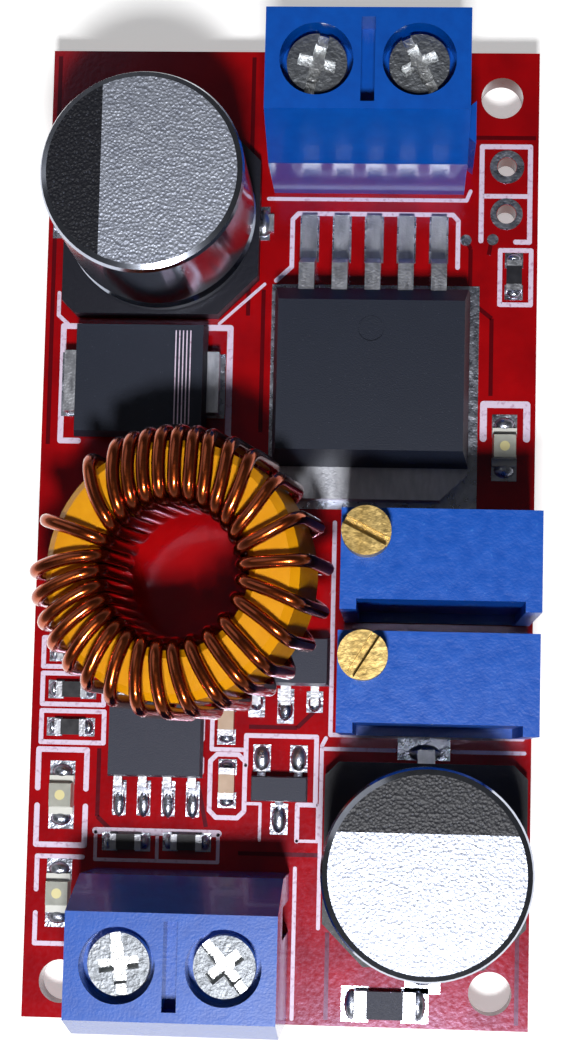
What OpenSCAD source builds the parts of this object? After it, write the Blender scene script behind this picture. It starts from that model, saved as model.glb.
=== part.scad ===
// Adjustable step-down converter module on a red circuit board.
// Millimetres. X runs across the board, Y along it, Z up. The origin is the centre of the
// board's outline, on the plane that the tips of the through-hole pins stand on.

/* [Board] */
// width of the board
board_w = 25.9; // [24:0.1:30]
// length of the board
board_l = 51; // [48:0.5:60]
// thickness of the board
board_t = 1.6; // [0.8:0.2:2.4]
// how far the through-hole pins stand out under the board
pin_out = 1.4; // [0.8:0.1:2.5]
// diameter of the three corner holes
corner_hole_d = 2.2; // [1.8:0.1:3.2]
// corner holes, from the long edges
corner_hole_inset = 1.95; // [1.4:0.05:3]
// corner hole at the input end, from that end
input_corner_inset = 2.45; // [1.4:0.05:4]
// corner holes at the output end, from that end
output_corner_inset = 1.85; // [1.4:0.05:4]
// diameter of the two holes for a pin header
header_hole_d = 1; // [0.8:0.1:1.2]
// pitch of the two holes for a pin header
header_pitch = 2.54; // [2:0.01:3]
// middle of the pin header's holes, placed like the parts below
header_place = [-1.65, -7.44];

// A place is [across, along]. Across is from the left edge, or from the right edge if it is
// negative. Along is from the output end, or from the input end if it is negative.

/* [Terminal blocks] */
// distance between the two screws of a terminal block
terminal_pitch = 5; // [3.5:0.01:7.62]
// height of a terminal block
terminal_h = 10; // [8:0.1:14]
// place of the input block, at its row of screws
input_terminal_place = [-8.9, -3.7];
// place of the output block, at its row of screws
output_terminal_place = [8.62, 3.7];
// from the screw's axis to the block's inner wall
terminal_inner = 3.98; // [3:0.02:5]
// from the screw's axis to the block's outer face
terminal_outer = 3.6; // [3:0.02:5]
// from the screw's axis to the inner edge of the top
terminal_top_inner = 2.47; // [2:0.01:4]
// from the screw's axis to the outer edge of the top
terminal_top_outer = 2.58; // [2:0.01:4]
// height where the inner wall starts to slope
terminal_slope_z = 5.7; // [3:0.1:9]
// height where the outer face starts to slope
terminal_brow_z = 6.8; // [5:0.1:9.5]
// diameter of the well above each screw
screw_well_d = 3.6; // [3:0.1:4.5]
// diameter of a terminal screw's head
terminal_screw_head_d = 2.95; // [2:0.05:3.5]
// diameter of a terminal screw's shaft
terminal_screw_d = 2.4; // [2:0.1:3]
// turn of each terminal screw's driver recess, degrees
terminal_screw_turns = [-14, 28, 8, 40];
// how far a clamp cage can rise
clamp_travel = 1.9; // [1:0.1:2.5]
// width of the notch between the screw wells
notch_w = 0.68; // [0.4:0.02:1]
// length of the notch between the screw wells
notch_l = 4.2; // [2:0.1:4.8]
// depth of the notch between the screw wells
notch_depth = 1.8; // [0.5:0.1:2]

/* [Capacitors] */
// diameter of a capacitor's can
capacitor_d = 10; // [8:0.1:12.5]
// height of a capacitor over the board
capacitor_h = 10.2; // [7:0.1:14]
// side of a capacitor's square base
capacitor_base = 10.3; // [8.3:0.1:13]
// thickness of a capacitor's base
capacitor_base_t = 1.2; // [0.8:0.1:2]
// place of the input capacitor
input_capacitor_place = [6.17, -9.35];
// place of the output capacitor
output_capacitor_place = [-5.37, 8.27];

/* [Inductor] */
// outside diameter of the ring core
core_od = 12.7; // [11:0.1:14]
// bore of the ring core
core_id = 7.7; // [6.5:0.1:8.5]
// height of the ring core
core_h = 4.8; // [4:0.1:7]
// rounding of the core's edges
core_round = 0.4; // [0.1:0.1:0.8]
// diameter of the winding wire
wire_d = 0.68; // [0.4:0.02:0.72]
// clearance between the wire and the core's flat faces and bore
wire_gap = 0.03; // [0.01:0.01:0.1]
// extra slack of the turns around the core's outside
wire_slack = 0.14; // [0:0.01:0.4]
// place of the core's middle
core_place = [8.37, 22.37];
// height of the core's middle over the board
core_z = 6.64; // [4:0.02:9]
// lean of the ring core on its leads, degrees
core_lean = 10; // [0:0.5:12]
// where each turn crosses the core's outside, degrees
turns_outer = [127.5, 114, 107.2, 100.6, 94, 87.4, 80.8, 74.2, 65, 54.9, 40.2, 22, 4, -14, -29,
    -43, -54, -66, -79, -90, -101, -113.6, -125.6, -136.5, -147.8, -157.5, -168.1, -179.2, -201];
// where each turn goes down through the core's bore, degrees
turns_inner = [144.8, 133.1, 121.4, 109.7, 98, 86.3, 74.6, 62.9, 51.2, 39.5, 27.8, 16.1, 4.4,
    -7.3, -21.6, -40.3, -56.6, -72.2, -85.3, -97.7, -109.9, -121.6, -133.3, -145, -156.7, -168.4,
    -180.1, -191.8, -203.5];
// sides of the wire's section
wire_sides = 6; // [5:1:8]

/* [Trimmers] */
// length of a trimmer
trimmer_l = 9.53; // [8:0.01:12]
// width of a trimmer
trimmer_w = 4.83; // [4:0.01:6]
// height of a trimmer
trimmer_h = 10.03; // [8:0.01:12]
// place of the voltage trimmer
voltage_trimmer_place = [-4.95, 23.02];
// place of the current trimmer
current_trimmer_place = [-5.01, 17.19];
// adjusting screw, from the trimmer's middle
trimmer_screw_offset = [-3.55, 1.2];
// diameter of the adjusting screw's head
trimmer_screw_d = 2.35; // [1.8:0.05:2.6]
// diameter of the adjusting screw's neck
trimmer_neck_d = 1.4; // [1:0.1:1.8]
// how far the adjusting screw stands out of the top
trimmer_screw_h = 1.3; // [0.8:0.1:2]
// turn of each adjusting screw's slot, degrees
trimmer_screw_turns = [-27, 58];
// depth of the recess in a trimmer's long side
trimmer_recess = 0.5; // [0.1:0.1:1]
// pitch of a trimmer's pins
trimmer_pin_pitch = 2.54; // [2:0.01:3]

/* [Power packages] */
// place of the switching regulator, at the tips of its leads
regulator_place = [-8.58, -8.95];
// pitch of the regulator's leads
regulator_pitch = 1.7; // [1.27:0.01:2.54]
// width of the regulator's body
regulator_w = 10.1; // [9:0.1:11]
// height of the regulator's body
regulator_h = 4.5; // [4:0.1:5]
// length of the regulator's body
regulator_l = 9.1; // [8:0.1:10]
// thickness of the regulator's tab
tab_t = 1.27; // [1:0.01:1.5]
// length of the tab outside the body
tab_l = 1.65; // [1:0.05:3]
// place of the power diode
diode_place = [5.35, -18.1];
// size of the power diode's body
diode_size = [6.9, 5.9, 2.3];
// width of the power diode's leads
diode_lead_w = 3.2; // [2:0.1:4]

/* [Small parts] */
// place of the eight-lead amplifier
amplifier_place = [6.63, 14.35];
// size of the amplifier's body
amplifier_size = [4.9, 3.9, 1.6];
// pitch of the amplifier's leads
amplifier_pitch = 1.27; // [1:0.01:1.5]
// span of the amplifier's leads
amplifier_span = 6; // [5:0.1:7]
// place of the three-lead small regulator
small_regulator_place = [-12.67, 18.5];
// size of the small regulator's body
small_regulator_size = [4.5, 2.5, 1.5];
// pitch of the small regulator's leads
small_regulator_pitch = 1.5; // [1:0.01:2]
// span of the small regulator from its leads' tips to its tab's end
small_regulator_span = 4; // [3.5:0.1:5]
// place of the three-lead voltage reference
reference_place = [13.02, 11.95];
// size of the reference's body
reference_size = [2.9, 1.3, 1];
// pitch of the reference's two leads on one side
reference_pitch = 1.9; // [1.5:0.01:2.5]
// span of the reference's leads
reference_span = 2.4; // [2:0.1:3]
// width of a small package's lead
small_lead_w = 0.42; // [0.3:0.02:0.6]
// chip resistors: place and turn
chip_resistors = [[2.1, 18.75, 0], [2.1, 16.82, 0], [2.08, 14.88, 0], [5.15, 9.05, 0],
    [8.29, 9.1, 0], [-1.22, -12.05, 90]];
// chip capacitors: place and turn
chip_capacitors = [[10.3, 12.15, 90], [10.2, 15.4, 90]];
// signal lamps: place and turn
lamps = [[1.73, 11.37, 90], [1.73, 6.35, 90], [-1.6, -21.13, 90]];
// size of a chip resistor
chip_resistor_size = [1.6, 0.8, 0.45];
// size of a chip capacitor
chip_capacitor_size = [1.6, 0.8, 0.8];
// size of a signal lamp
lamp_size = [2, 1.25, 0.8];
// place of the current-sense resistor
shunt_place = [-7.27, 1.15];
// size of the current-sense resistor
shunt_size = [3.1, 1.4, 0.6];
// length of a chip's metal end, as a share of the chip's length
chip_end_share = 0.2; // [0.1:0.01:0.3]

/* [Output] */
// sub-part to build

/* [Hidden] */
$fn = 96;
top_z = pin_out + board_t;

function from_edge(v, half) = v < 0 ? half + v : v - half;
function at(p) = [from_edge(p.x, board_w / 2), from_edge(p.y, board_l / 2)];
header_pos = at(header_place);
input_capacitor_pos = at(input_capacitor_place);
output_capacitor_pos = at(output_capacitor_place);
core_pos = concat(at(core_place), core_z);
voltage_trimmer_pos = at(voltage_trimmer_place);
current_trimmer_pos = at(current_trimmer_place);
regulator_pos = at(regulator_place);
diode_pos = at(diode_place);
amplifier_pos = at(amplifier_place);
small_regulator_pos = at(small_regulator_place);
reference_pos = at(reference_place);
shunt_pos = at(shunt_place);
eps = 0.01;
cut = 0.5;
terminal_w = 2 * terminal_pitch;
pin_hole_d = 1.3;
trimmer_pin_d = 0.5;
trimmer_pin_hole_d = 0.8;
lead_hole_d = wire_d + 0.22;
clear = 0.1;
// one pole of a terminal block, from its screw's axis and the board's top
plate_z = 4.3;
plate_t = 0.6;
cage_wall = 0.6;
cage_w = 3.8;
cage_depth = 3.2;
cage_floor_z = 0.8;
cage_floor_t = 0.7;
cage_roof_z = plate_z + plate_t + 0.2;
cage_roof_t = 0.8;
ledge_z = cage_roof_z + cage_roof_t + clamp_travel + clear;
ledge_t = 0.4;
head_z = ledge_z + ledge_t;
head_t = 1;
strip_u = -2.35;
plate_w = 2.4;
pin_w = 1;
cavity_u = [strip_u, cage_depth / 2 + 0.15];
// winding
core_r = core_od / 2;
bore_r = core_id / 2;
wire_r = wire_d / 2;
path_in = bore_r - wire_gap - wire_r;
path_out = core_r + wire_gap + wire_slack + wire_r;
path_h = core_h / 2 + wire_gap + wire_r;
path_bend = 0.55;
turn_count = len(turns_outer);

// ---- helpers ----

module on_board() translate([0, 0, top_z]) children();

// a profile in Y and Z, w wide across X, centred
module across(w) rotate([90, 0, 90]) translate([0, 0, -w / 2]) linear_extrude(w) children();

// a profile in X and Z, w long along Y, centred
module along(w) rotate([90, 0, 0]) translate([0, 0, -w / 2]) linear_extrude(w) children();

// a block centred in X and Y, from z0 to z1
module block(x, y, z0, z1) translate([-x / 2, -y / 2, z0]) cube([x, y, z1 - z0]);

// a moulded block with drafted sides, widest at height mid
module moulded(x, y, z0, mid, z1, draft) intersection() {
    across(x + 2) polygon([[-y / 2 + draft, z0], [y / 2 - draft, z0], [y / 2, mid],
        [y / 2 - draft, z1], [-y / 2 + draft, z1], [-y / 2, mid]]);
    along(y + 2) polygon([[-x / 2 + draft, z0], [x / 2 - draft, z0], [x / 2, mid],
        [x / 2 - draft, z1], [-x / 2 + draft, z1], [-x / 2, mid]]);
}

// each terminal pole: side 0 is the input, 1 the output; pole -1 is left, 1 right on the board
module at_terminal(side)
    translate(concat(at(side == 0 ? input_terminal_place : output_terminal_place), top_z))
    rotate([0, 0, side * 180]) children();

module at_pole(side, pole) at_terminal(side)
    translate([(side == 0 ? pole : -pole) * terminal_pitch / 2, 0, 0]) children();

module each_pole() for (side = [0, 1]) for (pole = [-1, 1]) at_pole(side, pole) children();

module each_trimmer_pin() for (p = [voltage_trimmer_pos, current_trimmer_pos])
    for (i = [-1:1]) translate([p.x + i * trimmer_pin_pitch, p.y, 0]) children();

module at_list(items) for (p = items) translate(concat(at(p), top_z)) rotate([0, 0, p[2]])
    children();

// ---- board ----

corner_holes = [[-corner_hole_inset, -input_corner_inset],
    [corner_hole_inset, output_corner_inset], [-corner_hole_inset, output_corner_inset]];

module circuit_board() color([0.55, 0.02, 0.03]) difference() {
    block(board_w, board_l, pin_out, top_z);
    for (p = corner_holes) translate(concat(at(p), pin_out - cut))
        cylinder(d = corner_hole_d, h = board_t + 2 * cut);
    for (s = [-0.5, 0.5]) translate([header_pos.x, header_pos.y + s * header_pitch, pin_out - cut])
        cylinder(d = header_hole_d, h = board_t + 2 * cut);
    each_pole() translate([0, strip_u + plate_t / 2, -board_t - cut])
        cylinder(d = pin_hole_d, h = board_t + 2 * cut);
    each_trimmer_pin() translate([0, 0, pin_out - cut])
        cylinder(d = trimmer_pin_hole_d, h = board_t + 2 * cut);
    for (p = [wire_start(), wire_end()]) translate([p.x, p.y, pin_out - cut])
        cylinder(d = lead_hole_d, h = board_t + 2 * cut);
}

module solder_cone(r0, r1) translate([0, 0, 0.4]) cylinder(r1 = r1, r2 = r0, h = pin_out - 0.4);

module underside_solder_joints() color([0.75, 0.76, 0.78]) {
    difference() {
        each_pole() translate([0, strip_u + plate_t / 2, -top_z]) solder_cone(1.35, 0.75);
        each_pole() translate([0, strip_u + plate_t / 2, -top_z]) block(pin_w, plate_t, -1, 4);
    }
    difference() {
        each_trimmer_pin() solder_cone(0.85, 0.4);
        each_trimmer_pin() translate([0, 0, -1]) cylinder(d = trimmer_pin_d, h = 5);
    }
    for (p = [wire_start(), wire_end()]) translate([p.x, p.y, 0]) difference() {
        solder_cone(0.95, 0.5);
        translate([0, 0, -1]) cylinder(r = wire_r, h = 5);
    }
}

// ---- terminal blocks ----

module dovetail(extra, z1) translate([terminal_w / 2, -1.8, 0]) linear_extrude(z1)
    polygon([[-0.1, -0.65 - extra], [0.42 + extra, -1.1 - extra], [0.42 + extra, 1.1 + extra],
        [-0.1, 0.65 + extra]]);

module terminal_housing() difference() {
    union() {
        across(terminal_w) polygon([[-terminal_inner, 0], [-terminal_inner, terminal_slope_z],
            [-terminal_top_inner, terminal_h], [terminal_top_outer, terminal_h],
            [terminal_outer, terminal_brow_z], [terminal_outer, 0]]);
        dovetail(0, terminal_slope_z);
    }
    translate([-terminal_w, 0, -cut]) dovetail(0.08, terminal_slope_z + cut + 0.2);
    for (s = [-1, 1]) translate([s * terminal_pitch / 2, 0, 0]) {
        translate([0, 0, head_z]) cylinder(d = screw_well_d, h = terminal_h);
        translate([0, 0, ledge_z - cut]) cylinder(d = terminal_screw_d + 2 * clear, h = 2);
        translate([-cage_w / 2 - clear, cavity_u[0], -cut])
            cube([cage_w + 2 * clear, cavity_u[1] - cavity_u[0], ledge_z + cut]);
        translate([-1.55, 0, cage_floor_z + cage_floor_t])
            cube([3.1, terminal_outer + cut, plate_z - cage_floor_z - cage_floor_t]);
        translate([-1.9, terminal_outer - 0.55, cage_floor_z + cage_floor_t - 0.35])
            cube([3.8, 1, plate_z - cage_floor_z - cage_floor_t + 0.7]);
    }
    translate([0, 0, terminal_h - notch_depth]) block(notch_w, notch_l, 0, notch_depth + cut);
}

module input_terminal_housing() color([0.02, 0.27, 0.66]) at_terminal(0) terminal_housing();
module output_terminal_housing() color([0.02, 0.27, 0.66]) at_terminal(1) terminal_housing();

module terminal_contact_pins() color([0.72, 0.72, 0.7]) each_pole() union() {
    across(plate_w) polygon([[strip_u, 0.3], [strip_u + plate_t, 0.3],
        [strip_u + plate_t, plate_z], [cage_depth / 2, plate_z],
        [cage_depth / 2, plate_z + plate_t], [strip_u, plate_z + plate_t]]);
    translate([0, strip_u + plate_t / 2, 0]) block(pin_w, plate_t, -top_z, 0.35);
}

module terminal_screw(turn) difference() {
    union() {
        translate([0, 0, head_z]) cylinder(d = terminal_screw_head_d, h = head_t);
        translate([0, 0, plate_z + plate_t + 0.05])
            cylinder(d = terminal_screw_d, h = head_z - plate_z - plate_t);
    }
    translate([0, 0, head_z + head_t]) rotate([0, 0, turn]) {
        block(0.5, terminal_screw_head_d + 1, -0.35, 1);
        block(0.62, 1.9, -0.75, 1);
        block(1.9, 0.62, -0.75, 1);
    }
}

module clamp_cage() difference() {
    block(cage_w, cage_depth, cage_floor_z, cage_roof_z + cage_roof_t);
    block(cage_w - 2 * cage_wall, cage_depth + 1, cage_floor_z + cage_floor_t, cage_roof_z);
    translate([0, 0, cage_roof_z - cut]) cylinder(d = terminal_screw_d + clear, h = 2);
}

module input_left_terminal_screw() color([0.78, 0.78, 0.76]) at_pole(0, -1)
    terminal_screw(terminal_screw_turns[0]);
module input_right_terminal_screw() color([0.78, 0.78, 0.76]) at_pole(0, 1)
    terminal_screw(terminal_screw_turns[1]);
module output_left_terminal_screw() color([0.78, 0.78, 0.76]) at_pole(1, -1)
    terminal_screw(terminal_screw_turns[2]);
module output_right_terminal_screw() color([0.78, 0.78, 0.76]) at_pole(1, 1)
    terminal_screw(terminal_screw_turns[3]);
module input_left_clamp_cage() color([0.7, 0.7, 0.68]) at_pole(0, -1) clamp_cage();
module input_right_clamp_cage() color([0.7, 0.7, 0.68]) at_pole(0, 1) clamp_cage();
module output_left_clamp_cage() color([0.7, 0.7, 0.68]) at_pole(1, -1) clamp_cage();
module output_right_clamp_cage() color([0.7, 0.7, 0.68]) at_pole(1, 1) clamp_cage();

// ---- capacitors ----

// turn 0 has the negative lead on the left
module at_capacitor(side) translate([side == 0 ? input_capacitor_pos.x : output_capacitor_pos.x,
    side == 0 ? input_capacitor_pos.y : output_capacitor_pos.y, top_z])
    rotate([0, 0, side * -90]) children();

module capacitor_can() rotate_extrude() {
    r = capacitor_d / 2;
    z = capacitor_base_t;
    polygon([[0, z], [r - 0.15, z], [r, z + 0.15], [r, z + 0.75], [r - 0.3, z + 1.1],
        [r - 0.3, z + 1.5], [r, z + 1.9], [r, capacitor_h - 0.35], [r - 0.1, capacitor_h - 0.1],
        [r - 0.35, capacitor_h], [0, capacitor_h]]);
}

module capacitor_lead_pair() for (s = [-1, 1]) translate([s * (capacitor_base / 2 - 0.7), 0, 0])
    block(2.8, 0.9, 0, 0.3);

module capacitor_base_plate() difference() {
    linear_extrude(capacitor_base_t) {
        b = capacitor_base / 2;
        polygon([[-b, -b + 0.7], [-b + 0.7, -b], [b - 2.1, -b], [b, -b + 2.1], [b, b - 2.1],
            [b - 2.1, b], [-b + 0.7, b], [-b, b - 0.7]]);
    }
    capacitor_lead_pair();
}

module input_capacitor_can() color([0.8, 0.8, 0.82]) at_capacitor(0) capacitor_can();
module output_capacitor_can() color([0.8, 0.8, 0.82]) at_capacitor(1) capacitor_can();
module input_capacitor_base() color([0.06, 0.06, 0.07]) at_capacitor(0) capacitor_base_plate();
module output_capacitor_base() color([0.06, 0.06, 0.07]) at_capacitor(1) capacitor_base_plate();
module capacitor_leads() color([0.8, 0.8, 0.8]) for (side = [0, 1]) at_capacitor(side)
    capacitor_lead_pair();

// ---- power packages ----

module regulator_lead_set() for (i = [-2:2])
    translate([regulator_pos.x + i * regulator_pitch, regulator_pos.y, top_z]) across(0.8)
        polygon([[0, 0], [0, 0.45], [-2.3, 0.45], [-3.1, 2.8], [-5, 2.8], [-5, 2.35],
            [-3.42, 2.35], [-2.62, 0]]);

module regulator_slug() translate([regulator_pos.x, regulator_body_y1() - regulator_l, top_z])
    linear_extrude(tab_t) polygon([[-regulator_w / 2 + 1.4, -tab_l],
        [regulator_w / 2 - 1.4, -tab_l], [regulator_w / 2, -tab_l + 1.4], [regulator_w / 2, 0],
        [4.2, 0], [4.2, 6], [-4.2, 6], [-4.2, 0], [-regulator_w / 2, 0],
        [-regulator_w / 2, -tab_l + 1.4]]);

function regulator_body_y1() = regulator_pos.y - 4.4;

module regulator_body() color([0.07, 0.08, 0.09]) difference() {
    translate([regulator_pos.x, regulator_body_y1(), top_z]) intersection() {
        across(20) polygon([[-0.2, 0.1], [0, 2.6], [-1, regulator_h],
            [-regulator_l + 0.45, regulator_h], [-regulator_l, tab_t], [-regulator_l, 0.1]]);
        along(40) polygon([[-regulator_w / 2, 0.1], [regulator_w / 2, 0.1],
            [regulator_w / 2, 1.6], [regulator_w / 2 - 0.34, regulator_h],
            [-regulator_w / 2 + 0.34, regulator_h], [-regulator_w / 2, 1.6]]);
    }
    regulator_lead_set();
    regulator_slug();
    translate([regulator_pos.x, regulator_body_y1() - 2.45, top_z + regulator_h - 0.1])
        cylinder(r = 0.65, h = 1);
}

module regulator_tab() color([0.75, 0.76, 0.78]) regulator_slug();
module regulator_leads() color([0.78, 0.78, 0.78]) regulator_lead_set();

module diode_lead_set() for (s = [0, 1]) translate([diode_pos.x, diode_pos.y, top_z])
    rotate([0, 0, s * 180]) along(diode_lead_w) {
        x = diode_size.x / 2;
        polygon([[x - 1.2, 0], [x + 0.6, 0], [x + 0.6, 1.25], [x - 0.6, 1.25], [x - 0.6, 1.05],
            [x + 0.4, 1.05], [x + 0.4, 0.2], [x - 1.2, 0.2]]);
    }

module diode_body() color([0.07, 0.08, 0.09]) difference() {
    translate([diode_pos.x, diode_pos.y, top_z])
        moulded(diode_size.x, diode_size.y, 0.2, 1.15, diode_size.z, 0.16);
    diode_lead_set();
}
module diode_leads() color([0.75, 0.75, 0.76]) diode_lead_set();

// ---- inductor ----

module inductor_core() color([0.95, 0.65, 0.08]) translate([core_pos.x, core_pos.y, core_pos.z + top_z])
    rotate([0, -core_lean, 0]) rotate_extrude() polygon([
        [bore_r, -core_h / 2 + core_round], [bore_r + core_round, -core_h / 2],
        [core_r - core_round, -core_h / 2], [core_r, -core_h / 2 + core_round],
        [core_r, core_h / 2 - core_round], [core_r - core_round, core_h / 2],
        [bore_r + core_round, core_h / 2], [bore_r, core_h / 2 - core_round]]);

// from the ring's own frame to the part's
function ring_to_part(r, a, z) = let (x = r * cos(a), y = r * sin(a)) [
    core_pos.x + x * cos(core_lean) - z * sin(core_lean), core_pos.y + y,
    core_pos.z + top_z + x * sin(core_lean) + z * cos(core_lean)];

function bend(r0, z0, r1, z1, r2, z2) = [for (t = [0.3, 0.7]) [
    (1 - t) * (1 - t) * r0 + 2 * t * (1 - t) * r1 + t * t * r2,
    (1 - t) * (1 - t) * z0 + 2 * t * (1 - t) * z1 + t * t * z2]];

// one turn: up the outside, over the top, down the bore and back out underneath
function turn_points(k) = let (
    a = turns_outer[k], b = turns_inner[k],
    c = k < turn_count - 1 ? turns_outer[k + 1] : turns_inner[k] - 5,
    o = path_out, i = path_in, h = path_h, d = path_bend,
    outside = [[o, -h + d], [o, h - d]],
    over_edge = bend(o, h - d, o, h, o - d, h),
    into_bore = bend(i + d, h, i, h, i, h - d),
    out_of_bore = bend(i, -h + d, i, -h, i + d, -h),
    up_edge = bend(o - d, -h, o, -h, o, -h + d)) concat(
    [for (p = outside) concat(p, a)], [for (p = over_edge) concat(p, a)],
    [for (t = [0, 0.5, 1]) [o - d + (i + d - (o - d)) * t, h, a + (b - a) * t]],
    [for (p = into_bore) concat(p, b)], [[i, h - d, b], [i, -h + d, b]],
    [for (p = out_of_bore) concat(p, b)],
    [for (t = [0, 0.5, 1]) [i + d + (o - i - 2 * d) * t, -h, b + (c - b) * t]],
    k < turn_count - 1 ? [for (p = up_edge) concat(p, c)] : []);

function wire_start() = ring_to_part(path_out, turns_outer[0], -path_h + path_bend);
function wire_end() = ring_to_part(path_out + 0.25, turns_inner[turn_count - 1] - 5, -path_h);
lead_tip = 0.2;

function wire_path() = let (s = wire_start(), e = wire_end()) concat(
    [[s.x, s.y, lead_tip], [s.x, s.y, s.z - 0.6]],
    [for (k = [0:turn_count - 1]) for (p = turn_points(k)) ring_to_part(p[0], p[2], p[1])],
    [[e.x + 0.12, e.y, e.z - 0.1], [e.x, e.y, e.z - 0.7], [e.x, e.y, lead_tip]]);

function unit(v) = v / norm(v);

module inductor_winding() color([0.5, 0.2, 0.1]) {
    path = wire_path();
    n = len(path);
    m = wire_sides;
    axis = [-sin(core_lean), 0, cos(core_lean)];
    centre = [core_pos.x, core_pos.y, core_pos.z + top_z];
    points = [for (j = [0:n - 1]) let (
        t = unit(path[min(j + 1, n - 1)] - path[max(j - 1, 0)]),
        w = path[j] - centre,
        e = unit(cross(axis, w - (w * axis) * axis)),
        b = unit(e - (e * t) * t),
        q = cross(t, b))
        for (k = [0:m - 1]) path[j] + wire_r * (cos(k * 360 / m) * b + sin(k * 360 / m) * q)];
    faces = concat(
        [[for (k = [0:m - 1]) k]],
        [[for (k = [m - 1:-1:0]) (n - 1) * m + k]],
        [for (j = [0:n - 2]) for (k = [0:m - 1]) for (f = [0, 1]) let (
            a = j * m + k, b = j * m + (k + 1) % m)
            f == 0 ? [a, a + m, b] : [b, a + m, b + m]]);
    polyhedron(points = points, faces = faces, convexity = 12);
}

// ---- trimmers ----

module at_trimmer(i) translate([i == 0 ? voltage_trimmer_pos.x : current_trimmer_pos.x,
    i == 0 ? voltage_trimmer_pos.y : current_trimmer_pos.y, top_z]) children();

module trimmer_housing() difference() {
    block(trimmer_l, trimmer_w, 0, trimmer_h);
    translate([0, -trimmer_w / 2 - 1 + trimmer_recess, 0])
        block(trimmer_l - 1.56, 2, 0.7, trimmer_h + cut);
    block(trimmer_l - 1.8, trimmer_w + 1, -cut, 0.4);
    translate([trimmer_screw_offset.x, trimmer_screw_offset.y, 2.5])
        cylinder(d = trimmer_neck_d + 0.08, h = trimmer_h);
}

module trimmer_screw(turn) translate([trimmer_screw_offset.x, trimmer_screw_offset.y, 0])
    difference() {
        union() {
            translate([0, 0, trimmer_h]) cylinder(d = trimmer_screw_d, h = trimmer_screw_h);
            translate([0, 0, 2.6]) cylinder(d = trimmer_neck_d, h = trimmer_h - 2.5);
        }
        translate([0, 0, trimmer_h + trimmer_screw_h]) rotate([0, 0, turn])
            block(trimmer_screw_d + 1, 0.42, -0.65, 1);
    }

module voltage_trimmer_housing() color([0.02, 0.3, 0.68]) at_trimmer(0) trimmer_housing();
module current_trimmer_housing() color([0.02, 0.3, 0.68]) at_trimmer(1) trimmer_housing();
module voltage_trimmer_screw() color([0.75, 0.62, 0.3]) at_trimmer(0)
    trimmer_screw(trimmer_screw_turns[0]);
module current_trimmer_screw() color([0.75, 0.62, 0.3]) at_trimmer(1)
    trimmer_screw(trimmer_screw_turns[1]);
module trimmer_pins() color([0.8, 0.8, 0.78]) each_trimmer_pin() translate([0, 0, lead_tip])
    cylinder(d = trimmer_pin_d, h = top_z + 0.4 - lead_tip);

// ---- small packages ----

// a gull-wing lead pointing along +Y: tip at 0, reaching in by l and up to z
module gull_wing(w, l, z, t) across(w) polygon([[0, 0], [0, t], [-0.35, t],
    [-0.55, z + t / 2], [-l, z + t / 2], [-l, z - t / 2], [-0.55 - t, z - t / 2],
    [-0.35 - t, 0]]);

module at_pos(p) translate(concat([p.x, p.y], top_z)) children();

module amplifier_lead_set() at_pos(amplifier_pos) for (s = [0, 180]) rotate([0, 0, s])
    for (i = [-1.5:1.5]) translate([i * amplifier_pitch, amplifier_span / 2, 0])
        gull_wing(small_lead_w, (amplifier_span - amplifier_size.y) / 2 + 0.25,
            amplifier_size.z / 2, 0.2);
module amplifier_body() color([0.08, 0.09, 0.1]) difference() {
    at_pos(amplifier_pos) moulded(amplifier_size.x, amplifier_size.y, 0.15,
        amplifier_size.z / 2, amplifier_size.z, 0.1);
    amplifier_lead_set();
}
module amplifier_leads() color([0.8, 0.8, 0.8]) amplifier_lead_set();

module block_from(w, y0, y1, h) translate([-w / 2, y0, 0]) cube([w, y1 - y0, h]);
module small_regulator_lead_set() at_pos(small_regulator_pos) {
    tip = -small_regulator_span / 2 - 0.25;
    inside = -small_regulator_size.y / 2 + 0.35;
    for (i = [-1, 1]) translate([i * small_regulator_pitch, 0, 0])
        block_from(small_lead_w, tip, inside, 0.4);
    union() {
        block_from(small_lead_w + 0.1, tip, inside, 0.4);
        block_from(1.7, inside - 0.05, tip + small_regulator_span, 0.4);
    }
}
module small_regulator_body() color([0.1, 0.11, 0.12]) difference() {
    at_pos(small_regulator_pos) moulded(small_regulator_size.x, small_regulator_size.y, 0.05,
        0.5, small_regulator_size.z, 0.12);
    small_regulator_lead_set();
}
module small_regulator_leads() color([0.8, 0.8, 0.8]) small_regulator_lead_set();

module reference_lead(x) translate([x, reference_span / 2, 0]) gull_wing(small_lead_w,
    (reference_span - reference_size.y) / 2 + 0.2, reference_size.z / 2, 0.13);
module reference_lead_set() at_pos(reference_pos) {
    for (i = [-0.5, 0.5]) reference_lead(i * reference_pitch);
    rotate([0, 0, 180]) reference_lead(0);
}
module reference_body() color([0.1, 0.11, 0.12]) difference() {
    at_pos(reference_pos) moulded(reference_size.x, reference_size.y, 0.08,
        reference_size.z / 2, reference_size.z, 0.07);
    reference_lead_set();
}
module reference_leads() color([0.8, 0.8, 0.8]) reference_lead_set();

// ---- chips ----

module chip_body(size) block(size.x * (1 - 2 * chip_end_share), size.y, 0, size.z);
module chip_ends(size) for (s = [-1, 1])
    translate([s * size.x * (1 - chip_end_share) / 2, 0, 0])
        block(size.x * chip_end_share, size.y, 0, size.z);

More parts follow.
